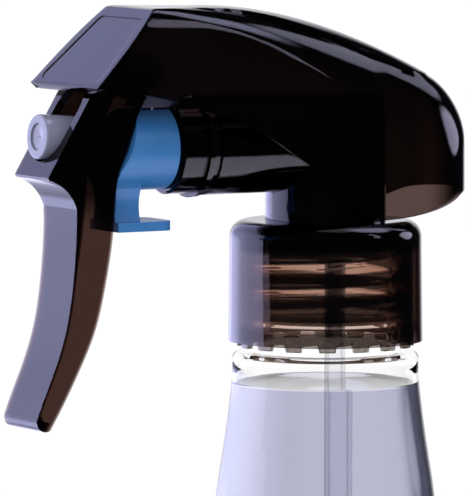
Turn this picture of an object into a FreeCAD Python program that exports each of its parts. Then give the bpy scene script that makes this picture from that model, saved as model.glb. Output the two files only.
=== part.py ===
import FreeCAD, Part
import math
import os

V = FreeCAD.Vector

# ---- driving dimensions, mm. +Z up, the spray leaves towards -Y, origin on the standing plane ----
BODY_R = 20.5            # bottle body radius
BODY_TOP = 66.0          # height at which the body starts to narrow
PET_WALL = 0.9
COLLAR_Z = 126.0         # lower edge of the closure's outer skirt
NECK_R = 12.4            # neck wall outside the thread
NECK_BORE = 10.9
THREAD_R = 13.65         # crest radius of the neck thread
THREAD_PITCH = 4.2333    # 6 turns per inch
THREAD_TURNS = 2.0
LIP_Z = COLLAR_Z + 16.0  # sealing lip of the neck
COLLAR_R = 16.5
COLLAR_TOP = COLLAR_Z + 20.5
SLEEVE_IN = 13.95        # threaded sleeve inside the closure
TUBE_R = 1.8
TUBE_Y = 1.9             # the dip tube hangs behind the bottle's axis
COLUMN_R = 10.25
PUMP_Z = COLLAR_Z + 33.9  # axis of the horizontal cylinder
PUMP_R = 8.4
PUMP_BORE = 6.0
BARREL_R = 4.6           # sliding barrel of the actuator
HOOD_WALL = 1.4
PIVOT_Y = -40.5
PIVOT_Z = COLLAR_Z + 47.2
PIN_R = 1.55
TRIGGER_HALF = 5.9
TRIGGER_WALL = 1.3
NOZZLE_R = 3.75
NOZZLE_TILT = 4.5        # degrees, upwards
FIT = 0.05               # radial clearance of running fits


def cyl(radius, height, base, axis=(0, 0, 1)):
    return Part.makeCylinder(radius, height, V(*base), V(*axis))


def block(x0, x1, y0, y1, z0, z1):
    return Part.makeBox(x1 - x0, y1 - y0, z1 - z0, V(x0, y0, z0))


def turned(points, turn=None):
    """Solid of revolution about Z from (radius, height) corners."""
    wire = Part.makePolygon([V(r, 0, z) for r, z in points + points[:1]])
    return Part.Face(wire).revolve(V(0, 0, 0), V(0, 0, 1), 360)


def turned_y(points, x=0.0, z=0.0):
    """Solid of revolution about a line along Y from (radius, y) corners."""
    wire = Part.makePolygon([V(x, y, z + r) for r, y in points + points[:1]])
    return Part.Face(wire).revolve(V(x, 0, z), V(0, 1, 0), 360)


def side_prism(edges, x0, x1):
    """Extrudes a closed outline drawn in the YZ plane along X."""
    face = Part.Face(Part.Wire(edges))
    face.translate(V(x0, 0, 0))
    return face.extrude(V(x1 - x0, 0, 0))


def yz(y, z):
    return V(0, y, z)


def spline(points):
    curve = Part.BSplineCurve()
    curve.interpolate(points)
    return curve.toShape()


def lines(points):
    return [Part.LineSegment(a, b).toShape() for a, b in zip(points, points[1:])]


def helix_ridge(radius, depth, z0, turns, half_root, half_crest):
    """Thread ridge that grows from radius by depth (negative = inwards)."""
    path = Part.makeHelix(THREAD_PITCH, THREAD_PITCH * turns, radius)
    root = radius - math.copysign(0.3, depth)
    section = Part.makePolygon([
        V(root, 0, -half_root),
        V(radius + depth, 0, -half_crest),
        V(radius + depth, 0, half_crest),
        V(root, 0, half_root),
        V(root, 0, -half_root),
    ])
    ridge = Part.Wire(path).makePipeShell([section], True, True)
    ridge.translate(V(0, 0, z0))
    return ridge


def coil(radius, wire, length, turns):
    """Open helical spring standing on Z = 0."""
    path = Part.makeHelix((length - 2 * wire) / turns, length - 2 * wire, radius)
    ring = Part.makeCircle(wire, V(radius, 0, 0), V(0, 1, 0))
    spring = Part.Wire(path).makePipeShell([Part.Wire(ring)], True, True)
    spring.translate(V(0, 0, wire))
    return spring


def along_y(shape, y, z, x=0.0):
    """Lays a shape standing on Z = 0 so that its +Z points to +Y."""
    shape.rotate(V(0, 0, 0), V(1, 0, 0), -90)
    shape.translate(V(x, y, z))
    return shape


# ---- bottle: blown body with a pushed-up base, a stepped shoulder and a threaded neck ----
def bottle():
    def skin(inset):
        body = [(15.8, 121.5), (15.95, 118.7), (16.4, 114.7), (17.25, 108.6), (18.2, 102.6),
                (19.1, 95.0), (19.85, 85.0), (20.35, 75.0), (BODY_R, BODY_TOP)]
        return [V(r - inset, 0, z) for r, z in body]

    def shell(inset):
        top = 124.1 - inset
        corner = 15.8 - inset
        foot = BODY_R - inset
        dome = 3.6 + inset
        pts = [V(0, 0, dome), V(13.0, 0, inset), V(15.5, 0, inset)]
        bend = V(foot - 1.4645, 0, inset + 1.4645)
        rim = V(foot, 0, inset + 5.0)
        edges = [
            Part.Arc(pts[0], V(6.8, 0, dome - 1.0), pts[1]).toShape(),
            Part.LineSegment(pts[1], V(foot - 5.0, 0, inset)).toShape(),
            Part.Arc(V(foot - 5.0, 0, inset), bend, rim).toShape(),
            Part.LineSegment(rim, V(foot, 0, BODY_TOP)).toShape(),
        ]
        wall = skin(inset)
        curve = Part.BSplineCurve()
        curve.interpolate(wall[::-1], InitialTangent=V(0, 0, 1), FinalTangent=V(0, 0, 1))
        edges.append(curve.toShape())
        edges += lines([wall[0], V(corner, 0, top - 1.1)])
        edges.append(Part.Arc(V(corner, 0, top - 1.1), V(corner - 0.322, 0, top - 0.322),
                              V(corner - 1.1, 0, top)).toShape())
        edges += lines([V(corner - 1.1, 0, top), V(0, 0, top), pts[0]])
        return Part.Face(Part.Wire(edges)).revolve(V(0, 0, 0), V(0, 0, 1), 360)

    neck = turned([(0, 122.5), (NECK_R, 122.5), (NECK_R, LIP_Z - 0.5), (NECK_R - 0.5, LIP_Z), (0, LIP_Z)])
    bead = turned([(NECK_R - 0.5, 127.6), (13.5, 128.1), (13.5, 129.0), (NECK_R - 0.5, 129.5)])
    ridge = helix_ridge(NECK_R, THREAD_R - NECK_R, 131.6, THREAD_TURNS, 0.95, 0.5)
    solid = shell(0).fuse([neck, bead, ridge])
    solid = solid.cut(shell(PET_WALL))
    solid = solid.cut(turned([(0, 122.0), (NECK_BORE, 122.0), (NECK_BORE, LIP_Z + 1), (0, LIP_Z + 1)]))
    return solid.removeSplitter()


# ---- closure: smooth outer skirt over a threaded sleeve with ratchet teeth ----
def collar():
    z = COLLAR_Z
    outer = turned([(0, z), (COLLAR_R, z), (COLLAR_R - 0.25, COLLAR_TOP), (0, COLLAR_TOP)])
    rim = [e for e in outer.Edges if abs(e.BoundBox.ZMin - COLLAR_TOP) < 0.01 and e.Length > 90]
    outer = outer.makeFillet(2.8, rim)
    hollow = turned([(0, z - 1), (15.7, z - 1), (15.6, z + 18.0), (15.1, z + 18.6), (0, z + 18.6)])
    sleeve = turned([(SLEEVE_IN, z - 0.9), (15.0, z - 0.9), (15.0, z + 19.0), (SLEEVE_IN, z + 19.0)])
    shell = outer.cut(hollow).fuse(sleeve)
    hole = COLUMN_R + FIT
    shell = shell.cut(cyl(hole, 6, (0, 0, z + 17)))
    notches = []
    for i in range(16):
        tooth = Part.makePolygon([V(13, -1.7, z - 1.2), V(13, 1.7, z - 1.2), V(13, 1.2, z + 0.4),
                                  V(13, -1.4, z + 0.1), V(13, -1.7, z - 1.2)])
        gap = Part.Face(tooth).extrude(V(2.35, 0, 0))
        gap.rotate(V(0, 0, 0), V(0, 0, 1), 22.5 * i + 5)
        notches.append(gap)
    shell = shell.cut(Part.makeCompound(notches))
    start = 1.4
    ridge = helix_ridge(SLEEVE_IN, -1.2, 131.6 - THREAD_PITCH / 2 + start, 1.6, 0.95, 0.5)
    ridge.rotate(V(0, 0, 0), V(0, 0, 1), 360 * start / THREAD_PITCH)
    return shell.fuse(ridge).removeSplitter()


def neck_gasket():
    return turned([(8.9, LIP_Z + 0.03), (13.2, LIP_Z + 0.03), (13.2, LIP_Z + 1.2), (8.9, LIP_Z + 1.2)])


# ---- pump body: hollow column, horizontal cylinder, spigot bore and inlet port ----
def pump_body():
    z = COLLAR_Z
    flange = cyl(12.9, 1.35, (0, 0, z + 17.23))
    column = cyl(COLUMN_R, 25.1, (0, 0, z + 17.23))
    top = [e for e in column.Edges if e.BoundBox.ZMin > z + 42]
    column = column.makeFillet(2.0, top)
    barrel = cyl(PUMP_R, 26.0, (0, -24.5, PUMP_Z), (0, 1, 0))
    solid = column.fuse([flange, barrel])
    solid = solid.cut(cyl(8.75, 6.8, (0, 0, z + 17.2)))
    solid = solid.cut(cyl(3.45, 3.0, (0, TUBE_Y, z + 23.9)))
    solid = solid.cut(cyl(1.2, 4.0, (0, TUBE_Y, z + 26.0)))
    chamber = turned_y([(0, -20.4), (PUMP_BORE, -20.4), (PUMP_BORE, 3.0), (PUMP_BORE - 0.6, 3.6), (0, 3.6)], 0, PUMP_Z)
    mouth = cyl(7.0, 4.2, (0, -24.6, PUMP_Z), (0, 1, 0))
    vent = cyl(0.4, 6.6, (0, -12.6, z + 28.4), (0, 4.2, -4.6))
    solid = solid.cut(Part.makeCompound([chamber, mouth, vent]))
    for side in (-1, 1):
        seat = block(side * 8.0 - 1.2, side * 8.0 + 1.2, 9.0, 9.9, z + 33, z + 41)
        solid = solid.cut(seat)
    return solid.removeSplitter()


def tube_holder():
    z = COLLAR_Z
    plate = cyl(8.7, 1.6, (0, 0, z + 17.35))
    shank = cyl(3.2, 4.6, (0, TUBE_Y, z + 13.0))
    spigot = cyl(3.4, 7.9, (0, TUBE_Y, z + 18.5))
    solid = plate.fuse([shank, spigot])
    bore = cyl(TUBE_R + 0.02, 4.8, (0, TUBE_Y, z + 12.9))
    way = cyl(1.2, 4.0, (0, TUBE_Y, z + 17.5))
    seat = Part.makeCone(1.2, 2.35, 1.4, V(0, TUBE_Y, z + 20.4))
    cage = cyl(2.35, 6.0, (0, TUBE_Y, z + 21.8))
    vents = [cyl(0.7, 3.0, (x, -5.2, z + 17.0)) for x in (-2.4, 2.4)]
    solid = solid.cut(Part.makeCompound([bore, way, seat, cage]))
    return solid.cut(Part.makeCompound(vents)).removeSplitter()


def dip_tube():
    top = COLLAR_Z + 17.5
    tube = cyl(TUBE_R, top - 6.5, (0, TUBE_Y, 6.5)).cut(cyl(1.25, top, (0, TUBE_Y, 0)))
    slope = Part.makePolygon([yz(-2, 5), yz(6, 5), yz(6, 10.2), yz(-2, 6.2), yz(-2, 5)])
    return tube.cut(side_prism([slope], -4, 4))


def inlet_ball():
    return Part.makeSphere(1.95, V(0, TUBE_Y, COLLAR_Z + 23.15))


# ---- front cap of the cylinder, with the guide lug above the sliding barrel ----
def cylinder_cap():
    profile = [
        (BARREL_R + FIT, -31.7), (7.6, -31.7), (8.0, -31.3), (8.0, -27.0), (8.7, -27.0),
        (8.7, -26.0), (7.9, -26.0), (7.9, -24.6), (6.95, -24.6), (6.95, -20.6),
        (5.4, -20.6), (5.4, -23.0), (BARREL_R + FIT, -23.0),
    ]
    cap = turned_y(profile, 0, PUMP_Z)
    lug = block(-2.9, 2.9, -37.2, -30.0, PUMP_Z + 6.75, PUMP_Z + 8.9)
    nose = Part.makePolygon([yz(-37.3, PUMP_Z + 6.7), yz(-35.6, PUMP_Z + 9.0), yz(-37.3, PUMP_Z + 9.0),
                             yz(-37.3, PUMP_Z + 6.7)])
    lug = lug.cut(side_prism([nose], -4, 4))
    return cap.fuse(lug).removeSplitter()


# ---- moving pump parts, all on the cylinder's axis ----
def stem():
    profile = [(1.2, -43.0), (2.6, -43.0), (2.6, -20.2), (3.4, -20.2), (3.4, -19.0), (2.6, -19.0),
               (2.6, -14.0), (3.3, -14.0), (2.6, -12.6), (1.2, -12.6)]
    return turned_y(profile, 0, PUMP_Z)


def piston_seal():
    profile = [(2.62, -18.9), (4.6, -18.9), (5.55, -20.0), (5.97, -20.0), (5.3, -17.6), (5.3, -15.4),
               (5.97, -13.0), (5.55, -13.0), (4.4, -14.6), (3.45, -14.6), (2.62, -14.6)]
    return turned_y(profile, 0, PUMP_Z)


def return_spring():
    return along_y(coil(4.0, 0.4, 15.9, 6.5), -12.45, PUMP_Z)


def actuator():
    """Nozzle housing tilted upwards, cross trunnions and the sliding barrel."""
    tip = V(0, -55.2, COLLAR_Z + 36.3)
    lean = math.radians(NOZZLE_TILT)
    back = V(0, math.cos(lean), -math.sin(lean))
    housing = Part.makeCylinder(NOZZLE_R, 13.2, tip, back)
    front = [e for e in housing.Edges if e.CenterOfMass.y < -55]
    housing = housing.makeFillet(0.35, front)
    barrel = turned_y([(0, -46.0), (3.6, -46.0), (4.4, -43.2), (BARREL_R, -42.9), (BARREL_R, -25.0), (0, -25.0)], 0, PUMP_Z)
    pins = cyl(1.3, 8.8, (-4.4, -44.0, PUMP_Z), (1, 0, 0))
    solid = housing.fuse([barrel, pins])
    keep = block(-4.42, 4.42, -60, -41.0, PUMP_Z - 8, PUMP_Z + 10)
    rest = block(-6, 6, -41.0, -20, PUMP_Z - 8, PUMP_Z + 8)
    solid = solid.common(keep.fuse(rest))
    stem_bore = cyl(2.63, 21.0, (0, -44.05, PUMP_Z), (0, 1, 0))
    channel = Part.makeCylinder(2.3, 9.0, tip, back)
    link = Part.makeCylinder(0.9, 3.6, on_nozzle_axis(8.0), back)
    return solid.cut(Part.makeCompound([stem_bore, channel, link])).removeSplitter()


def tilted(profile):
    """Turned part on the nozzle's own axis, distances counted back from the housing's face."""
    wire = Part.makePolygon([V(0, s, r) for r, s in profile + profile[:1]])
    solid = Part.Face(wire).revolve(V(0, 0, 0), V(0, 1, 0), 360)
    solid.rotate(V(0, 0, 0), V(1, 0, 0), -NOZZLE_TILT)
    solid.translate(V(0, -55.2, COLLAR_Z + 36.3))
    return solid


def nozzle_insert():
    """Pressed-in orifice cup with a shallow dish around the spray hole."""
    return tilted([(0.15, 0.6), (2.1, 0.35), (2.28, 0.35), (2.28, 2.6), (1.7, 2.6), (1.7, 1.5), (0.15, 1.5)])


def swirl_core():
    core = tilted([(0, 1.55), (0.9, 1.55), (1.6, 2.2), (1.6, 4.6), (0.7, 4.6), (0.7, 5.4), (0, 5.4)])
    slots = []
    for i in range(3):
        slot = block(0.9, 2.2, -0.35, 0.35, -1, 8)
        slot.rotate(V(0, 0, 0), V(0, 0, 1), 120 * i)
        slot = along_y(slot, 0, 0)
        slot.rotate(V(0, 0, 0), V(1, 0, 0), -NOZZLE_TILT)
        slot.translate(V(0, -55.2, COLLAR_Z + 36.3))
        slots.append(slot)
    return core.cut(Part.makeCompound(slots))


def on_nozzle_axis(distance):
    lean = math.radians(NOZZLE_TILT)
    return V(0, -55.2 + distance * math.cos(lean), COLLAR_Z + 36.3 - distance * math.sin(lean))


def outlet_ball():
    return Part.makeSphere(1.3, on_nozzle_axis(8.03))


def outlet_spring():
    spring = along_y(coil(1.05, 0.16, 2.4, 3.5), 0, 0)
    spring.rotate(V(0, 0, 0), V(1, 0, 0), -NOZZLE_TILT)
    spring.translate(on_nozzle_axis(4.7))
    return spring


# ---- hood: shroud cut off by a sloped front facet with a shallow panel, roof rounding off to the back ----
HOOD_BACK = 25.5
HOOD_ROOF = COLLAR_Z + 57.1


def hood_block(inset, r_front, r_rear):
    """Roof and sides, before the back is rounded in plan and the lower edge is cut."""
    floor = COLLAR_Z + 10
    roof = []
    for y in (-24, -16, -8, 0, 8, 16, 24, 32, 38):
        roof.append(yz(y, HOOD_ROOF - 0.0166 * (y + 24.0) ** 1.8 - inset))
    curve = Part.BSplineCurve()
    curve.interpolate(roof)
    edges = lines([yz(38, floor), yz(-58, floor), yz(-58, roof[0].z), roof[0]])
    edges.append(curve.toShape())
    edges += lines([roof[-1], yz(38, floor)])
    slab = side_prism(edges, -14, 14)
    side = [(12.3, 8.0), (12.3, 22.0), (12.25, 34.0), (11.85, 44.0), (11.1, 50.0), (9.95, 54.0), (8.4, 57.1),
            (7.2, 59.0)]
    right = [V(x - inset, -60, COLLAR_Z + h) for x, h in side]
    left = [V(-p.x, p.y, p.z) for p in right]
    section = [spline(right), Part.LineSegment(right[-1], left[-1]).toShape(), spline(left[::-1]),
               Part.LineSegment(left[0], right[0]).toShape()]
    tunnel = Part.Face(Part.Wire(section)).extrude(V(0, 110, 0))
    solid = slab.common(tunnel)
    for sign in (-1, 1):
        rail = [e for e in solid.Edges if sign * e.CenterOfMass.x > 6 and e.CenterOfMass.z > COLLAR_Z + 25
                and e.BoundBox.YLength > 40 and e.BoundBox.ZLength > 8][0]
        ends = (r_front, r_rear)
        if rail.Vertexes[0].Y > rail.Vertexes[-1].Y:
            ends = (r_rear, r_front)
        solid = solid.makeFillet(ends[0], ends[1], [rail])
    return solid


def hood_plan(inset):
    """Plan outline with the half-round back."""
    half = 13.0 - inset
    radius = 12.3 - inset
    centre = HOOD_BACK - 12.3
    slab = block(-half, half, -60, centre, COLLAR_Z, COLLAR_Z + 90)
    return slab.fuse(cyl(radius, 90, (0, centre, COLLAR_Z))).removeSplitter()


def hood_cutter():
    """Everything above the swept lower edge and behind the facet."""
    z = COLLAR_Z
    sweep = [(1.6, 20.9), (-1.9, 24.0), (-4.9, 27.2), (-8.5, 30.0), (-12.0, 32.2), (-18.7, 36.2),
             (-23.5, 38.5), (-31.1, 40.9), (-37.1, 42.5), (-42.8, 43.6), (-50.2, 44.6)]
    tail = [(5.0, 20.9), (10.3, 21.4), (15.4, 22.5), (19.1, 23.7), (21.7, 24.8), (24.2, 25.3), (27.0, 25.5)]
    edges = [spline([yz(a, z + b) for a, b in sweep])]
    edges += lines([yz(-50.2, z + 44.6), yz(-38.2, z + 56.75), yz(-28.2, z + 66.87), yz(27.0, z + 66.87),
                    yz(27.0, z + 25.5)])
    edges.append(spline([yz(a, z + b) for a, b in tail[::-1]]))
    edges += lines([yz(5.0, z + 20.9), yz(1.6, z + 20.9)])
    return side_prism(edges, -20, 20)


def hood():
    outer = hood_block(0, 0.5, 8.5).common(hood_plan(0)).common(hood_cutter())
    inner = hood_block(HOOD_WALL, 0.5, 7.4).common(hood_plan(HOOD_WALL))
    front = yz(-50.2, COLLAR_Z + 44.6) + V(0, HOOD_WALL * 0.712, -HOOD_WALL * 0.702)
    run = V(0, 0.7027, 0.7115)
    slope_in = [front - run * 30, front + run * 24, front + run * 24 + V(0, 60, 0),
                yz(20, COLLAR_Z + 5), front - run * 30]
    inner = inner.common(side_prism([Part.makePolygon(slope_in)], -20, 20).fuse(
        block(-20, 20, -20, 40, COLLAR_Z + 5, COLLAR_Z + 80)))
    solid = outer.cut(inner)
    bosses = []
    for side in (-1, 1):
        boss = cyl(3.1, 5.0, (side * 6.3, PIVOT_Y, PIVOT_Z), (side, 0, 0))
        bosses.append(boss.common(outer))
        web = block(min(side * 7.4, side * 12), max(side * 7.4, side * 12), PIVOT_Y - 0.6, PIVOT_Y + 0.6,
                    PIVOT_Z, PIVOT_Z + 12)
        bosses.append(web.common(outer))
    for y in (-20.5, -14.5):
        rib = block(-12, 12, y - 0.6, y + 0.6, PUMP_Z + 2.0, COLLAR_Z + 60).common(outer)
        rib = rib.cut(cyl(PUMP_R + 0.04, 8, (0, y - 4, PUMP_Z), (0, 1, 0)))
        bosses.append(rib)
    post = cyl(2.2, 14, (0, 2.0, COLLAR_Z + 42.36)).common(outer)
    bosses.append(post)
    solid = solid.fuse(bosses)
    for side in (-1, 1):
        solid = solid.cut(cyl(PIN_R + FIT, 2.6, (side * 5.9, PIVOT_Y, PIVOT_Z), (side, 0, 0)))
    # shallow rounded panel in the facet
    slope = math.atan2(12.15, 12.0)
    half_low = 10.3
    half_top = 7.2
    depth = 0.35
    panel = Part.makePolygon([V(-half_low, 1.2, 0), V(half_low, 1.2, 0), V(half_top, 15.6, 0),
                              V(-half_top, 15.6, 0), V(-half_low, 1.2, 0)])
    plate = Part.Face(panel).extrude(V(0, 0, 6))
    corners = [e for e in plate.Edges if abs(e.tangentAt(e.FirstParameter).z) > 0.99]
    plate = plate.makeFillet(1.3, corners)
    plate.translate(V(0, 0, -depth))
    plate.rotate(V(0, 0, 0), V(1, 0, 0), math.degrees(slope))
    plate.translate(V(0, -50.2, COLLAR_Z + 44.6))
    return solid.cut(plate).removeSplitter()


# ---- trigger: curved channel with a windowed head that hangs on two pins ----
FRONT_LOW = [(-50.9, 24.4), (-50.95, 20.5), (-51.5, 13.0), (-52.8, 4.9), (-55.0, -1.9), (-57.6, -8.0),
             (-58.2, -9.6)]
REAR = [(-55.9, -12.0), (-53.6, -8.2), (-50.4, -2.3), (-47.5, 4.0), (-45.6, 11.1), (-44.4, 17.5), (-43.8, 22.5),
        (-43.5, 27.3)]


def trigger_outline(inset):
    z = COLLAR_Z
    along = V(0, 0.5145, 0.8575)
    inward = V(0, 0.8575, -0.5145)
    ledge = yz(-56.25, z + 29.8)
    head = ledge + along * 17.6
    front = [yz(a + inset, z + b) for a, b in FRONT_LOW]
    rear = [yz(a, z + b) for a, b in REAR]
    if inset:
        rear = [yz(a + 6, z + b) for a, b in REAR]
        ledge = ledge + inward * inset + along * 1.6
        head = head + inward * inset
        edges = lines([head + along * 4, ledge])
        edges += lines([ledge, ledge + V(0, 3.4, -2.0), front[0]])
        edges.append(spline(front))
        edges += lines([front[-1], yz(-56.4, z - 10.6), yz(-49, z - 12.5), yz(-25, z - 12.5),
                        yz(-25, z + 52)])
        edges += lines([yz(-25, z + 52), head + along * 4])
        return edges
    edges = lines([head, ledge])
    toe = ledge + V(0, 0.25, -0.45)
    edges += lines([ledge, toe])
    edges.append(Part.Arc(toe, yz(-52.9, z + 27.6), front[0]).toShape())
    edges.append(spline(front))
    edges.append(Part.Arc(front[-1], yz(-57.6, z - 12.0), rear[0]).toShape())
    edges.append(spline(rear))
    edges += lines([rear[-1], yz(-43.0, z + 30.4), yz(-41.4, z + 33.7), yz(-39.4, z + 39.6),
                    yz(PIVOT_Y + 3.0, z + 43.4), yz(PIVOT_Y + 3.0, PIVOT_Z)])
    edges.append(Part.Arc(yz(PIVOT_Y + 3.0, PIVOT_Z), yz(PIVOT_Y, PIVOT_Z + 3.0),
                          yz(PIVOT_Y - 2.55, PIVOT_Z + 1.58)).toShape())
    edges += lines([yz(PIVOT_Y - 2.55, PIVOT_Z + 1.58), head])
    return edges


def trigger():
    z = COLLAR_Z
    half = TRIGGER_HALF
    solid = side_prism(trigger_outline(0), -half, half)
    room = side_prism(trigger_outline(TRIGGER_WALL), -half + TRIGGER_WALL, half - TRIGGER_WALL)
    solid = solid.cut(room)
    # slot for the nozzle, square to the front plate, round at both ends
    along = V(0, 0.5145, 0.8575)
    normal = V(0, -0.8575, 0.5145)
    ledge = yz(-56.25, z + 29.8)
    low = ledge + along * 7.4
    high = ledge + along * 13.2
    reach = NOZZLE_R + 0.35
    cutters = [Part.makeCylinder(reach, 8, p - normal * 4, normal) for p in (low, high)]
    side_a = V(reach, 0, 0)
    quad = [low - side_a - normal * 4, low + side_a - normal * 4, high + side_a - normal * 4,
            high - side_a - normal * 4]
    cutters.append(Part.Face(Part.makePolygon(quad + quad[:1])).extrude(normal * 8))
    solid = solid.cut(Part.makeCompound(cutters[:1]).fuse(cutters[1:]))
    # tilt of the nozzle asks for a straight way through the lower end of the slot
    lean = math.radians(NOZZLE_TILT)
    way = Part.makeCylinder(NOZZLE_R + 0.35, 16, V(0, -60.0, z + 36.68),
                            V(0, math.cos(lean), -math.sin(lean)))
    solid = solid.cut(way)
    parts = []
    for side in (-1, 1):
        parts.append(cyl(PIN_R, 2.4, (side * half, PIVOT_Y, PIVOT_Z), (side, 0, 0)))
        inner = min(side * 3.95, side * (half - 0.5))
        outer = max(side * 3.95, side * (half - 0.5))
        parts.append(block(inner, outer, -47.6, -45.42, PUMP_Z - 2.6, PUMP_Z + 2.4))
    return solid.fuse(parts).removeSplitter()


# ---- shipping clip between the trigger and the cylinder ----
def lock_clip():
    z = COLLAR_Z
    ring = cyl(7.1, 12.0, (0, -44.0, PUMP_Z), (0, 1, 0))
    ring = ring.cut(cyl(BARREL_R + 0.3, 14, (0, -45, PUMP_Z), (0, 1, 0)))
    ring = ring.cut(block(-9, 9, -45, -30, PUMP_Z + 6.4, PUMP_Z + 9))
    mouth = Part.makePolygon([V(-2.6, 0, PUMP_Z), V(2.6, 0, PUMP_Z), V(3.0, 0, PUMP_Z + 8),
                              V(-3.0, 0, PUMP_Z + 8), V(-2.6, 0, PUMP_Z)])
    opening = Part.Face(mouth).extrude(V(0, 20, 0))
    opening.translate(V(0, -48, 0))
    ring = ring.cut(opening)
    neck = block(-4.2, 4.2, -42.6, -37.9, z + 21.0, PUMP_Z - 5.2)
    waist = [cyl(6.0, 8, (side * 9.4, -44, z + 24.4), (0, 1, 0)) for side in (-1, 1)]
    dish = [cyl(1.6, 3.4, (0, -43.0, z + 22.7), (0, 0, 1))]
    neck = neck.cut(Part.makeCompound(waist)).cut(dish[0])
    neck = neck.cut(cyl(BARREL_R + 0.3, 14, (0, -45, PUMP_Z), (0, 1, 0)))
    tab = block(-5.0, 5.0, -42.6, -32.0, z + 20.2, z + 21.8)
    corners = [e for e in tab.Edges if abs(e.tangentAt(e.FirstParameter).z) > 0.99
               and e.CenterOfMass.y > -33]
    tab = tab.makeFillet(2.0, corners)
    solid = ring.fuse([neck, tab])
    # the front follows the trigger's rear edge
    gap = 0.35
    front = [(-43.0, 30.4), (-41.4, 33.7), (-39.4, 39.6), (-37.5, 43.4)]
    outline = [yz(-60, z + 45), yz(-60, z + 10), yz(-43.1, z + 10), yz(-43.1, z + 27.3)]
    outline += [yz(a + gap, z + b) for a, b in front] + [yz(-60, z + 45)]
    return solid.cut(side_prism([Part.makePolygon(outline)], -12, 12)).removeSplitter()


NODES = {
    "bottle": bottle,
    "collar": collar,
    "neck_gasket": neck_gasket,
    "pump_body": pump_body,
    "tube_holder": tube_holder,
    "dip_tube": dip_tube,
    "inlet_ball": inlet_ball,
    "cylinder_cap": cylinder_cap,
    "stem": stem,
    "piston_seal": piston_seal,
    "return_spring": return_spring,
    "actuator": actuator,
    "nozzle_insert": nozzle_insert,
    "swirl_core": swirl_core,
    "outlet_ball": outlet_ball,
    "outlet_spring": outlet_spring,
    "hood": hood,
    "trigger": trigger,
    "lock_clip": lock_clip,
}

os.makedirs("parts", exist_ok=True)
for name, make in NODES.items():
    make().exportStep("parts/%s.step" % name)
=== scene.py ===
import bpy
import math
from mathutils import Matrix, Vector


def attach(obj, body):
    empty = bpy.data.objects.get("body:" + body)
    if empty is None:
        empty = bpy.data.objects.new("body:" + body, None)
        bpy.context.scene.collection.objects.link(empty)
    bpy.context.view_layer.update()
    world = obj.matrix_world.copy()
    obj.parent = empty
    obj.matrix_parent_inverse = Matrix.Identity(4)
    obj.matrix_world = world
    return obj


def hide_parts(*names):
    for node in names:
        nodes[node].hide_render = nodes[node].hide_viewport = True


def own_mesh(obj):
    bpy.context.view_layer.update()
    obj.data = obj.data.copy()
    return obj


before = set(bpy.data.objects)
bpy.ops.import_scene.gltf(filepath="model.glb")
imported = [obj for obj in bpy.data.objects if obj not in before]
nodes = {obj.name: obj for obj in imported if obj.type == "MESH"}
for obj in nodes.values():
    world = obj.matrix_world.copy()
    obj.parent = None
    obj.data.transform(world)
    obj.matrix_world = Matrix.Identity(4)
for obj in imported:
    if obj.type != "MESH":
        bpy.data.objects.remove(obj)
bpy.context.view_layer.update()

MM = 0.001


# ---- node helpers; grains are noise scales and ripples are bump strengths ----
BUMP_DEPTH = 0.00005
SMOKE_GRAIN, SMOKE_RIPPLE = 160.0, 0.05
SOLID_GRAIN, SOLID_RIPPLE = 220.0, 0.15
GLASS_GRAIN, GLASS_RIPPLE = 90.0, 0.06
SMOKE_IOR = 1.5
STRAIGHT_IOR = 1.04      # where clear plastic hardly bends the view
EDGE_ON = (0.30, 0.85)   # how slanted a wall is when it starts and ends getting darker
PER_METRE = 1000


def new_material(name):
    mat = bpy.data.materials.new(name)
    mat.use_nodes = True
    mat.node_tree.nodes.clear()
    return mat, mat.node_tree


def noise(tree, scale):
    coord = tree.nodes.new("ShaderNodeTexCoord")
    field = tree.nodes.new("ShaderNodeTexNoise")
    field.inputs["Scale"].default_value = scale
    field.inputs["Detail"].default_value = 2.0
    tree.links.new(coord.outputs["Object"], field.inputs["Vector"])
    return field


def ramp(tree, source, low, high):
    fit = tree.nodes.new("ShaderNodeMapRange")
    fit.inputs["To Min"].default_value = low
    fit.inputs["To Max"].default_value = high
    tree.links.new(source, fit.inputs["Value"])
    return fit.outputs["Result"]


def maths(tree, kind, *sources):
    node = tree.nodes.new("ShaderNodeMath")
    node.operation = kind
    for i, source in enumerate(sources):
        if isinstance(source, (int, float)):
            node.inputs[i].default_value = source
        else:
            tree.links.new(source, node.inputs[i])
    return node.outputs[0]


def bumped(tree, field, strength):
    bump = tree.nodes.new("ShaderNodeBump")
    bump.inputs["Strength"].default_value = strength
    bump.inputs["Distance"].default_value = BUMP_DEPTH
    tree.links.new(field.outputs["Fac"], bump.inputs["Height"])
    return bump.outputs["Normal"]


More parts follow.
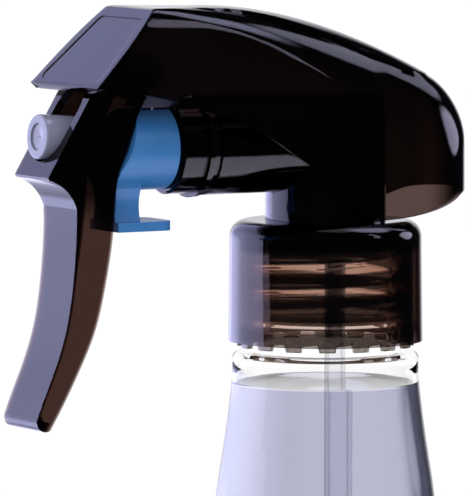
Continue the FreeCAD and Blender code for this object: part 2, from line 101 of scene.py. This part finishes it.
def smoky(name, absorb, denser=None, rough=(0.02, 0.08), rim=0.25):
    """Tinted clear plastic: mirror-like skin, unbent view through it, colour from its thickness.
    absorb is what one millimetre takes off in red, green and blue (natural log). denser is a field
    that is 1 where a wall is made to let less light through, and the share of light that each face there
    lets through.
    rim is the share that passes a wall seen nearly edge on."""
    mat, tree = new_material(name)
    out = tree.nodes.new("ShaderNodeOutputMaterial")
    field = noise(tree, SMOKE_GRAIN)
    normal = bumped(tree, field, SMOKE_RIPPLE)
    clear = tree.nodes.new("ShaderNodeBsdfTransparent")
    slant = tree.nodes.new("ShaderNodeLayerWeight")
    slant.inputs["Blend"].default_value = 0.5
    wall = tree.nodes.new("ShaderNodeMapRange")
    wall.inputs["From Min"].default_value = EDGE_ON[0]
    wall.inputs["From Max"].default_value = EDGE_ON[1]
    wall.inputs["To Min"].default_value = 1.0
    wall.inputs["To Max"].default_value = rim
    tree.links.new(slant.outputs["Facing"], wall.inputs["Value"])
    let = wall.outputs["Result"]
    if denser:
        let = maths(tree, "MULTIPLY", let, ramp(tree, denser[0](tree), 1.0, denser[1]))
    tree.links.new(let, clear.inputs["Color"])
    gloss = tree.nodes.new("ShaderNodeBsdfGlossy")
    gloss.inputs["Color"].default_value = (1, 1, 1, 1)
    tree.links.new(ramp(tree, field.outputs["Fac"], *rough), gloss.inputs["Roughness"])
    tree.links.new(normal, gloss.inputs["Normal"])
    fresnel = tree.nodes.new("ShaderNodeFresnel")
    fresnel.inputs["IOR"].default_value = SMOKE_IOR
    tree.links.new(normal, fresnel.inputs["Normal"])
    geom = tree.nodes.new("ShaderNodeNewGeometry")
    front = maths(tree, "SUBTRACT", 1.0, geom.outputs["Backfacing"])
    share = maths(tree, "MULTIPLY", fresnel.outputs["Fac"], front)
    mix = tree.nodes.new("ShaderNodeMixShader")
    tree.links.new(share, mix.inputs[0])
    tree.links.new(clear.outputs[0], mix.inputs[1])
    tree.links.new(gloss.outputs[0], mix.inputs[2])
    tree.links.new(mix.outputs[0], out.inputs["Surface"])
    density = max(absorb) * PER_METRE * 1.05
    body = tree.nodes.new("ShaderNodeVolumeAbsorption")
    body.inputs["Density"].default_value = density
    body.inputs["Color"].default_value = [1 - a * PER_METRE / density for a in absorb] + [1]
    tree.links.new(body.outputs[0], out.inputs["Volume"])
    return mat


def solid(name, low, high, roughness, subsurface=0.0, metallic=0.0, coat=0.0):
    """Opaque or nearly opaque material whose colour wanders a little between two tones."""
    mat, tree = new_material(name)
    out = tree.nodes.new("ShaderNodeOutputMaterial")
    shade = tree.nodes.new("ShaderNodeBsdfPrincipled")
    field = noise(tree, SOLID_GRAIN)
    mix = tree.nodes.new("ShaderNodeMix")
    mix.data_type = "RGBA"
    mix.inputs[6].default_value = (*low, 1)
    mix.inputs[7].default_value = (*high, 1)
    tree.links.new(field.outputs["Fac"], mix.inputs[0])
    tree.links.new(mix.outputs[2], shade.inputs["Base Color"])
    rough = ramp(tree, field.outputs["Fac"], roughness * 0.8, roughness * 1.2)
    tree.links.new(rough, shade.inputs["Roughness"])
    tree.links.new(bumped(tree, field, SOLID_RIPPLE), shade.inputs["Normal"])
    shade.inputs["Metallic"].default_value = metallic
    shade.inputs["Subsurface Weight"].default_value = subsurface
    shade.inputs["Subsurface Scale"].default_value = 0.003
    shade.inputs["Coat Weight"].default_value = coat
    tree.links.new(shade.outputs[0], out.inputs["Surface"])
    return mat


def glassy(name, colour, ior, straight=None):
    """Clear plastic or liquid that bends light; straight is a field where it hardly bends it."""
    mat, tree = new_material(name)
    out = tree.nodes.new("ShaderNodeOutputMaterial")
    shade = tree.nodes.new("ShaderNodeBsdfGlass")
    field = noise(tree, GLASS_GRAIN)
    shade.inputs["Color"].default_value = (*colour, 1)
    shade.inputs["IOR"].default_value = ior
    if straight:
        tree.links.new(ramp(tree, straight(tree), ior, STRAIGHT_IOR), shade.inputs["IOR"])
    tree.links.new(ramp(tree, field.outputs["Fac"], 0.0, 0.02), shade.inputs["Roughness"])
    tree.links.new(bumped(tree, field, GLASS_RIPPLE), shade.inputs["Normal"])
    tree.links.new(shade.outputs[0], out.inputs["Surface"])
    return mat


def along(axis, start, end):
    """Field that rises from 0 to 1 between two coordinates in mm; axis 3 is the distance from Z."""
    def field(tree):
        coord = tree.nodes.new("ShaderNodeTexCoord")
        if axis == 3:
            flat = tree.nodes.new("ShaderNodeVectorMath")
            flat.operation = "MULTIPLY"
            flat.inputs[1].default_value = (1, 1, 0)
            tree.links.new(coord.outputs["Object"], flat.inputs[0])
            size = tree.nodes.new("ShaderNodeVectorMath")
            size.operation = "LENGTH"
            tree.links.new(flat.outputs[0], size.inputs[0])
            source = size.outputs["Value"]
        else:
            split = tree.nodes.new("ShaderNodeSeparateXYZ")
            tree.links.new(coord.outputs["Object"], split.inputs[0])
            source = split.outputs[axis]
        fit = tree.nodes.new("ShaderNodeMapRange")
        fit.inputs["From Min"].default_value = start * MM
        fit.inputs["From Max"].default_value = end * MM
        tree.links.new(source, fit.inputs["Value"])
        return fit.outputs["Result"]
    return field


def thread_bands():
    """1 on the threaded sleeve's ridges and 0 between them, following the helix. The thread ends above
    a clear band, and the closure's foot and top are denser all round."""
    pitch = 4.2333 * MM
    gap_z = 139.1 * MM       # height of a gap where the helix starts
    start = 0.515            # angle at which the helix starts

    def field(tree):
        coord = tree.nodes.new("ShaderNodeTexCoord")
        split = tree.nodes.new("ShaderNodeSeparateXYZ")
        tree.links.new(coord.outputs["Object"], split.inputs[0])
        x, y, z = split.outputs
        angle = maths(tree, "ADD", maths(tree, "ARCTAN2", y, x), start)
        rise = maths(tree, "MULTIPLY", angle, pitch / (2 * math.pi))
        height = maths(tree, "SUBTRACT", maths(tree, "SUBTRACT", z, rise), gap_z)
        turn = maths(tree, "ADD", maths(tree, "DIVIDE", height, pitch), 0.5)
        off = maths(tree, "ABSOLUTE", maths(tree, "SUBTRACT", maths(tree, "FRACT", turn), 0.5))
        ridge = tree.nodes.new("ShaderNodeMapRange")
        ridge.interpolation_type = "SMOOTHSTEP"
        ridge.inputs["From Min"].default_value = 0.20
        ridge.inputs["From Max"].default_value = 0.27
        tree.links.new(off, ridge.inputs["Value"])
        closed = maths(tree, "MAXIMUM", ridge.outputs["Result"], along(2, 132.9, 132.5)(tree))
        opened = maths(tree, "MULTIPLY", closed, along(2, 129.9, 130.3)(tree))
        sleeve = maths(tree, "MULTIPLY", opened, along(3, 15.25, 15.10)(tree))
        foot = maths(tree, "MULTIPLY", along(2, 129.2, 127.8)(tree), 0.62)
        ends = maths(tree, "MAXIMUM", foot, along(2, 141.2, 142.2)(tree))
        return maths(tree, "MAXIMUM", sleeve, ends)
    return field


# the hood's walls beyond x = -5 mm and the trigger's above z = 148 mm let less light through; the
# collar's do on its thread ridges, foot and top
SMOKE_HOOD = smoky("smoke_hood", (1.45, 1.72, 1.80), denser=(along(0, -5.0, -7.0), 0.55))
SMOKE_PUMP = smoky("smoke_pump", (1.9, 2.2, 2.3))
SMOKE_TRIGGER = smoky("smoke_trigger", (2.0, 2.5, 2.65), denser=(along(2, 148.0, 153.0), 0.35))
SMOKE_COLLAR = smoky("smoke_collar", (0.22, 0.38, 0.46), denser=(thread_bands(), 0.33))
BLUE = solid("blue_clip", (0.035, 0.19, 0.48), (0.05, 0.23, 0.55), 0.34, subsurface=0.15)
NOZZLE = solid("nozzle_plastic", (0.22, 0.22, 0.31), (0.26, 0.26, 0.36), 0.22, coat=0.4)
NATURAL = solid("natural_plastic", (0.62, 0.62, 0.68), (0.70, 0.70, 0.76), 0.35, subsurface=0.4)
SEAL = solid("seal_rubber", (0.55, 0.55, 0.56), (0.65, 0.65, 0.66), 0.5)
STEEL = solid("spring_steel", (0.50, 0.50, 0.52), (0.60, 0.60, 0.62), 0.25, metallic=1.0)
# the tube lets less light through above z = 126 mm
TUBE = smoky("tube_plastic", (0.12, 0.12, 0.09), rough=(0.2, 0.3), rim=0.8,
             denser=(along(2, 126.0, 126.6), 0.5))
PET = glassy("clear_pet", (1.0, 1.0, 1.0), 1.36, straight=along(2, 120.6, 121.6))
LIQUID = glassy("liquid", (0.70, 0.705, 0.80), 1.33)
SURFACE = glassy("liquid_surface", (1.0, 1.0, 1.0), 1.33)

FINISH = {
    "bottle": PET,
    "collar": SMOKE_COLLAR,
    "neck_gasket": SEAL,
    "pump_body": SMOKE_PUMP,
    "tube_holder": NATURAL,
    "dip_tube": TUBE,
    "inlet_ball": STEEL,
    "cylinder_cap": SMOKE_PUMP,
    "stem": NATURAL,
    "piston_seal": SEAL,
    "return_spring": STEEL,
    "actuator": NOZZLE,
    "nozzle_insert": NOZZLE,
    "swirl_core": NATURAL,
    "outlet_ball": STEEL,
    "outlet_spring": STEEL,
    "hood": SMOKE_HOOD,
    "trigger": SMOKE_TRIGGER,
    "lock_clip": BLUE,
}
for name, mat in FINISH.items():
    mesh = nodes[name].data
    mesh.materials.clear()
    mesh.materials.append(mat)


# ---- hood: one thin moulded wall, sharp at the sloped front facet and rounding off to the back ----
Z0 = 126.0               # lower edge of the closure, mm
HALF = 12.3              # half the hood's width
HOOD_WALL = 1.4
EDGE_ROUND = 0.3
PANEL_DEPTH = 0.16
BACK_Y = 13.2            # centre of the half-round back
TIP = (-50.2, 44.6)      # lower front edge of the facet
RISE = 1.0125            # slope of the facet
CROWN = 57.35            # height of the roof behind the facet
DOME = 5.5               # how far the roof falls to its sides at the back
LOW_EDGE = [(-50.2, 44.6), (-42.8, 43.6), (-37.1, 42.5), (-31.1, 40.9), (-23.5, 38.5), (-18.7, 36.2),
            (-12.0, 32.2), (-8.5, 30.0), (-4.9, 27.2), (-1.9, 24.0), (1.6, 20.95), (5.0, 20.95),
            (10.3, 21.4), (15.4, 22.5), (19.1, 23.7), (21.7, 24.8), (25.5, 25.4)]
LEAN = [(0, 0), (22, 0), (34, 0.05), (44, 0.45), (50, 1.2), (54, 2.35), (57.1, 3.9), (60, 5.4)]


def through(table, at):
    """Smooth value from a table of (position, value) pairs."""
    if at <= table[0][0]:
        return table[0][1]
    for i in range(len(table) - 1):
        (x0, y0), (x1, y1) = table[i:i + 2]
        if at <= x1:
            before = table[max(i - 1, 0)]
            after = table[min(i + 2, len(table) - 1)]
            m0 = (y1 - before[1]) / (x1 - before[0])
            m1 = (after[1] - y0) / (after[0] - x0)
            t = (at - x0) / (x1 - x0)
            w = x1 - x0
            return ((2 * t**3 - 3 * t**2 + 1) * y0 + (t**3 - 2 * t**2 + t) * w * m0
                    + (3 * t**2 - 2 * t**3) * y1 + (t**3 - t**2) * w * m1)
    return table[-1][1]


def roof_at(x, y):
    """Height of the roof above the closure's lower edge, mm."""
    crown = CROWN - 0.0142 * max(0.0, y + 24.0) ** 1.80
    dome = DOME * min(1.0, max(0.0, (y + 34.0) / 40.0)) ** 1.5
    crown -= dome * (x / 9.0) ** 2
    return min(crown, TIP[1] + (y - TIP[0]) * RISE)


def corner_at(y):
    """Radius between the side and the roof."""
    share = min(1.0, max(0.0, (y + 38.0) / 52.0))
    return 0.35 + 5.6 * share ** 0.67


def hood_point(y, turn, step, walls, corners, roofs):
    """Step 0 is the lower edge; the last step is on the middle line. turn is the angle round the back."""
    def place(inward):
        reach = HALF - inward
        return reach * math.cos(turn), y + reach * math.sin(turn)

    radius = corner_at(y + HALF * math.sin(turn))
    if step <= walls:
        x, yy = place(0)
        top = roof_at(x, yy) - radius
        low = through(LOW_EDGE, yy)
        z = low + (top - low) * step / walls if top > low else low
        inward = 0.0
    elif step <= walls + corners:
        a = math.pi / 2 * (step - walls) / corners
        inward = radius * (1 - math.cos(a))
        x, yy = place(inward)
        z = max(roof_at(x, yy) - radius * (1 - math.sin(a)), through(LOW_EDGE, yy))
    else:
        share = (step - walls - corners) / roofs
        start = radius + through(LEAN, roof_at(HALF, y))
        inward = start + (HALF - start) * share
        x, yy = place(inward)
        return x, yy, Z0 + roof_at(x, yy)
    lean = through(LEAN, z) * (1 - 0.35 * math.sin(turn))
    x, yy = place(inward + lean)
    return x, yy, Z0 + z


def object_from(name, verts, faces):
    mesh = bpy.data.meshes.new(name)
    mesh.from_pydata([[c * MM for c in v] for v in verts], [], faces)
    mesh.validate()
    obj = bpy.data.objects.new(name, mesh)
    bpy.context.scene.collection.objects.link(obj)
    return obj


def modifier(obj, kind, **values):
    made = obj.modifiers.new(kind.lower(), kind)
    for key, value in values.items():
        setattr(made, key, value)
    return made


def settle(obj, angle=35.0):
    """Applies the modifiers and shades smoothly except over real edges."""
    bpy.context.view_layer.update()
    graph = bpy.context.evaluated_depsgraph_get()
    mesh = bpy.data.meshes.new_from_object(obj.evaluated_get(graph))
    obj.modifiers.clear()
    obj.data = mesh
    for p in mesh.polygons:
        p.use_smooth = True
    mesh.set_sharp_from_angle(angle=math.radians(angle))
    return obj


def make_hood():
    walls, corners, roofs = 18, 10, 10
    stations = [TIP[0] + i for i in range(13)]
    stations += [-38.1, -37.8, -37.0, -36.0] + [-34.5 + 1.5 * i for i in range(32)]
    stations = [(y, 0.0) for y in stations if y < BACK_Y - 0.5]
    stations += [(BACK_Y, math.pi / 2 * i / 16) for i in range(17)]
    count = walls + corners + roofs + 1
    verts, faces = [], []
    for side in (1, -1):
        rows = []
        for y, turn in stations:
            row = []
            for step in range(count):
                x, yy, z = hood_point(y, turn, step, walls, corners, roofs)
                row.append(len(verts))
                verts.append((side * x, yy, z))
            rows.append(row)
        for a, b in zip(rows, rows[1:]):
            for i in range(count - 1):
                quad = (a[i], b[i], b[i + 1], a[i + 1])
                faces.append(quad if side > 0 else quad[::-1])
    shell = object_from("hood_shell", verts, faces)
    modifier(shell, "WELD", merge_threshold=0.00002)
    modifier(shell, "SOLIDIFY", thickness=HOOD_WALL * MM, offset=-1.0, use_even_offset=True, use_rim=True)
    settle(shell, 30.0)
    modifier(shell, "BEVEL", width=EDGE_ROUND * MM, segments=3, limit_method="ANGLE",
             angle_limit=math.radians(50))
    settle(shell, 40.0)
    return shell


def panel_cutter():
    """Rounded trapezium that presses the shallow panel into the facet."""
    corner = 1.3         # radius of its corners
    outline = []
    corners = [(-10.3, 1.2), (10.3, 1.2), (7.2, 15.6), (-7.2, 15.6)]
    for i, point in enumerate(corners):
        here = Vector(point)
        to_last = (Vector(corners[i - 1]) - here).normalized()
        to_next = (Vector(corners[(i + 1) % 4]) - here).normalized()
        half = to_last.angle(to_next) / 2
        middle = here + (to_last + to_next).normalized() * corner / math.sin(half)
        first = here + to_last * corner / math.tan(half)
        last = here + to_next * corner / math.tan(half)
        for k in range(9):
            arm = (first - middle).lerp(last - middle, k / 8).normalized() * corner
            outline.append(middle + arm)
    run = Vector((0, 0.7027, 0.7115))        # up the facet
    out = Vector((0, -0.7115, 0.7027))       # away from it
    base = Vector((0, TIP[0], Z0 + TIP[1]))
    verts = []
    for lift in (-PANEL_DEPTH, 4.0):
        for p in outline:
            verts.append(base + Vector((p.x, 0, 0)) + run * p.y + out * lift)
    n = len(outline)
    faces = [tuple(range(n))[::-1], tuple(range(n, 2 * n))]
    faces += [(i, (i + 1) % n, n + (i + 1) % n, n + i) for i in range(n)]
    return object_from("panel_cutter", verts, faces)


hood = make_hood()
cutter = panel_cutter()
modifier(hood, "BOOLEAN", operation="DIFFERENCE", object=cutter, solver="EXACT")
settle(hood, 30.0)
bpy.data.objects.remove(cutter)
hood.data.materials.append(SMOKE_HOOD)
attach(hood, "head")
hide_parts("hood")


# ---- guide lug on the cap; its lavender-grey colour is a painted reflection of the lavender softbox ----
LUG_PAINTED_REFLECTION = solid("lug_painted_reflection", (0.085, 0.088, 0.155), (0.10, 0.105, 0.18), 0.3, coat=0.3)
top = 168.75
side_view = [(-37.25, 166.60), (-29.9, 166.60), (-29.9, top), (-35.6, top + 0.2), (-37.25, 166.9)]
count = len(side_view)
verts = [(x, y, z) for x in (-2.95, 2.95) for y, z in side_view]
faces = [tuple(range(count)), tuple(range(count, 2 * count))[::-1]]
faces += [(i, count + i, count + (i + 1) % count, (i + 1) % count) for i in range(count)]
lug = object_from("guide_lug", verts, faces)
modifier(lug, "BEVEL", width=EDGE_ROUND * MM, segments=3)
settle(lug)
# the lug takes the painted-reflection colour
lug.data.materials.append(LUG_PAINTED_REFLECTION)
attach(lug, "head")


def soft_spring(name, node, body):
    """Copy of a coil along Y that moves with the given body, in place of the hidden original."""
    coil = bpy.data.objects.new(name, nodes[node].data.copy())
    coil.matrix_world = nodes[node].matrix_world
    bpy.context.scene.collection.objects.link(coil)
    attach(coil, body)
    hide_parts(node)
    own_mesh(coil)


soft_spring("return_coil", "return_spring", "head")
soft_spring("outlet_coil", "outlet_spring", "piston")


# ---- turned pieces ----
def lathe(name, profile, steps=96):
    """Closed surface of revolution about Z from (radius, height) pairs in mm, axis to axis."""
    verts, faces, rings = [], [], []
    for radius, height in profile:
        angles = [2 * math.pi * i / steps for i in range(steps)] if radius else [0.0]
        rings.append(list(range(len(verts), len(verts) + len(angles))))
        verts += [(radius * math.cos(a), radius * math.sin(a), height) for a in angles]
    for low, high in zip(rings, rings[1:]):
        for i in range(steps):
            j = (i + 1) % steps
            if len(low) == 1:
                faces.append((low[0], high[j], high[i]))
            elif len(high) == 1:
                faces.append((low[i], low[j], high[0]))
            else:
                faces.append((low[i], low[j], high[j], high[i]))
    obj = object_from(name, verts, faces)
    for p in obj.data.polygons:
        p.use_smooth = True
    return obj


PIVOT = (0, -40.5, Z0 + 47.2)                # middle of the trigger's axis
BOSS_R = 3.1
BORE_R = 1.65
for side, word in ((1, "right"), (-1, "left")):
    boss = lathe("pivot_boss_" + word, [(0, 8.5), (BORE_R, 8.5), (BORE_R, 6.3), (BOSS_R, 6.3),
                                        (BOSS_R, 11.2), (0, 11.2)], 48)
    turn = Matrix.Rotation(math.radians(90 * side), 4, "Y")
    boss.data.transform(Matrix.Translation(Vector(PIVOT) * MM) @ turn)
    settle(boss, 30.0)
    boss.data.materials.append(SMOKE_HOOD)
    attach(boss, "head")


# ---- liquid: fills the bottle up to the level, with its side inside the thickness of the wall ----
LEVEL = 119.0
WALL = 0.45              # how far its side lies inside the bottle's outer face
# bottle's outer face as (height, radius)
shape = [(118.7, 15.95), (114.7, 16.4), (108.6, 17.25), (102.6, 18.2), (95.0, 19.1), (85.0, 19.85),
         (75.0, 20.35), (66.0, 20.5), (6.0, 20.5), (4.0, 20.2), (2.3, 19.2), (1.1, 17.6), (0.9, 15.5)]
profile = [(0, 4.6), (6.8, 3.7), (13.0, 1.1)] + [(r - WALL, max(z, 1.0)) for z, r in shape[::-1]]
profile += [(15.95 - WALL, LEVEL), (14.2, LEVEL - 0.35), (12.0, LEVEL - 0.5), (0, LEVEL - 0.5)]
liquid = lathe("liquid", profile)
liquid.data.materials.append(LIQUID)
liquid.data.materials.append(SURFACE)
for p in liquid.data.polygons:
    p.material_index = int(p.center.z > (LEVEL - 0.6) * MM)
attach(liquid, "bottle")


# ---- studio: floor, soft lights, bright surround ----
floor_mat, tree = new_material("floor_paper")
out = tree.nodes.new("ShaderNodeOutputMaterial")
paper = tree.nodes.new("ShaderNodeBsdfPrincipled")
grain = noise(tree, 40.0)
tree.links.new(ramp(tree, grain.outputs["Fac"], 0.75, 0.85), paper.inputs["Roughness"])
paper.inputs["Base Color"].default_value = (0.86, 0.86, 0.87, 1)
tree.links.new(paper.outputs[0], out.inputs["Surface"])
bpy.ops.mesh.primitive_circle_add(vertices=96, radius=0.6, fill_type="NGON", location=(0, 0, -0.0002))
floor = bpy.context.object
floor.name = "floor"
floor.data.materials.append(floor_mat)
floor.visible_glossy = False
floor.visible_transmission = False

world = bpy.data.worlds.new("studio")
bpy.context.scene.world = world
world.use_nodes = True
tree = world.node_tree
tree.nodes.clear()


def facing(direction, low, high):
    """Field over the surround that is 1 where it lies in a direction and 0 well away from it."""
    coord = tree.nodes.new("ShaderNodeTexCoord")
    dot = tree.nodes.new("ShaderNodeVectorMath")
    dot.operation = "DOT_PRODUCT"
    dot.inputs[1].default_value = Vector(direction).normalized()
    tree.links.new(coord.outputs["Generated"], dot.inputs[0])
    fit = tree.nodes.new("ShaderNodeMapRange")
    fit.interpolation_type = "SMOOTHSTEP"
    fit.inputs["From Min"].default_value = low
    fit.inputs["From Max"].default_value = high
    tree.links.new(dot.outputs["Value"], fit.inputs["Value"])
    return fit.outputs["Result"]


def surround(base, panels):
    """Background that is base plus the colour of each soft panel."""
    last = None
    for colour, field in panels:
        panel = tree.nodes.new("ShaderNodeMix")
        panel.data_type = "RGBA"
        panel.blend_type = "ADD"
        panel.inputs[6].default_value = (*base, 1)
        panel.inputs[7].default_value = (*colour, 1)
        if last:
            tree.links.new(last, panel.inputs[6])
        tree.links.new(field, panel.inputs[0])
        last = panel.outputs[2]
    shade = tree.nodes.new("ShaderNodeBackground")
    tree.links.new(last, shade.inputs["Color"])
    return shade.outputs[0]


# mirrors, clear plastic and the camera each see a surround of their own
BEHIND = (-0.87, 0.49, 0.0)      # past the object, from the camera
BESIDE = (0.49, 0.87, 0.0)       # to the camera's right
out = tree.nodes.new("ShaderNodeOutputWorld")
seen = tree.nodes.new("ShaderNodeBackground")
seen.inputs["Color"].default_value = (1, 1, 1, 1)
seen.inputs["Strength"].default_value = 1.02
mirrored = surround((0.012, 0.011, 0.016), [
    ((0.98, 1.0, 1.75), facing((-0.80, -0.55, 0.20), 0.66, 0.74)),
    ((0.85, 0.85, 1.3), facing((-0.75, -0.65, -0.10), 0.75, 0.97)),
    ((0.9, 0.9, 0.95), facing(BEHIND, 0.86, 0.97)),
    ((1.0, 1.0, 1.5), facing((-0.87, -0.05, -0.49), 0.80, 0.92)),
    ((1.1, 1.1, 1.5), facing((-0.20, 0.785, 0.585), 0.978, 0.990)),
    ((2.4, 2.3, 3.2), facing((0.03, 0.97, 0.22), 0.968, 0.985)),
    ((2.2, 2.2, 3.2), facing((0.10, 0.50, 0.86), 0.94, 0.985)),
    ((1.7, 1.6, 2.0), facing((0.45, 0.50, -0.74), 0.86, 0.91)),
])
lighting = surround((0.50, 0.50, 0.52), [
    ((0.55, 0.56, 0.62), facing((-0.5, -0.5, 0.7), -0.2, 0.9)),
    ((0.25, 0.25, 0.26), facing((0.87, -0.3, 0.3), 0.0, 0.9)),
])
refracted = surround((0.08, 0.08, 0.12), [
    ((0.92, 0.92, 0.88), facing(BESIDE, -0.64, -0.40)),
    ((0.45, 0.45, 0.45), facing(BESIDE, 0.15, 0.6)),
])
path = tree.nodes.new("ShaderNodeLightPath")
last = lighting
for flag, shade in (("Is Glossy Ray", mirrored), ("Is Transmission Ray", refracted),
                    ("Is Camera Ray", seen.outputs[0])):
    pick = tree.nodes.new("ShaderNodeMixShader")
    tree.links.new(path.outputs[flag], pick.inputs[0])
    tree.links.new(last, pick.inputs[1])
    tree.links.new(shade, pick.inputs[2])
    last = pick.outputs[0]
tree.links.new(last, out.inputs["Surface"])


def soft_light(name, direction, distance, size, radiance, colour):
    """Rectangular lamp that faces the head of the bottle; radiance is what a mirror would show."""
    middle = Vector((0, -0.01, 0.14))
    data = bpy.data.lights.new(name, "AREA")
    data.shape = "RECTANGLE"
    data.size, data.size_y = size
    data.energy = radiance * math.pi * size[0] * size[1]
    data.color = colour
    obj = bpy.data.objects.new(name, data)
    back = Vector(direction).normalized()
    obj.location = middle + back * distance
    obj.rotation_euler = back.to_track_quat("Z", "Y").to_euler()
    obj.visible_camera = False
    bpy.context.scene.collection.objects.link(obj)


soft_light("strip", (0.59, 0.49, 0.49), 1.1, (0.14, 0.5), 2.2, (0.8, 0.75, 1.0))
soft_light("overhead", (0.1, 0.1, 1.0), 1.2, (0.5, 0.5), 0.5, (0.95, 0.95, 1.0))

# ---- camera ----
LENS = 492.5
AZIMUTH = math.radians(60.5)
ELEVATION = math.radians(4.7)
TARGET = Vector((-7.46, -13.19, 141.6)) * MM
DISTANCE = 1.15
cam_data = bpy.data.cameras.new("camera")
cam_data.sensor_fit = "AUTO"
cam_data.sensor_width = 36
cam_data.lens = LENS
cam_data.clip_start = 0.05
cam_data.clip_end = 20
camera = bpy.data.objects.new("camera", cam_data)
bpy.context.scene.collection.objects.link(camera)
back = Vector((math.sin(AZIMUTH) * math.cos(ELEVATION), -math.cos(AZIMUTH) * math.cos(ELEVATION),
               math.sin(ELEVATION)))
camera.location = TARGET + back * DISTANCE
camera.rotation_euler = back.to_track_quat("Z", "Y").to_euler()
bpy.context.scene.camera = camera

scene = bpy.context.scene
scene.view_settings.view_transform = "Standard"
scene.cycles.transparent_max_bounces = 64
scene.cycles.max_bounces = 16
scene.cycles.transmission_bounces = 16
scene.cycles.glossy_bounces = 4
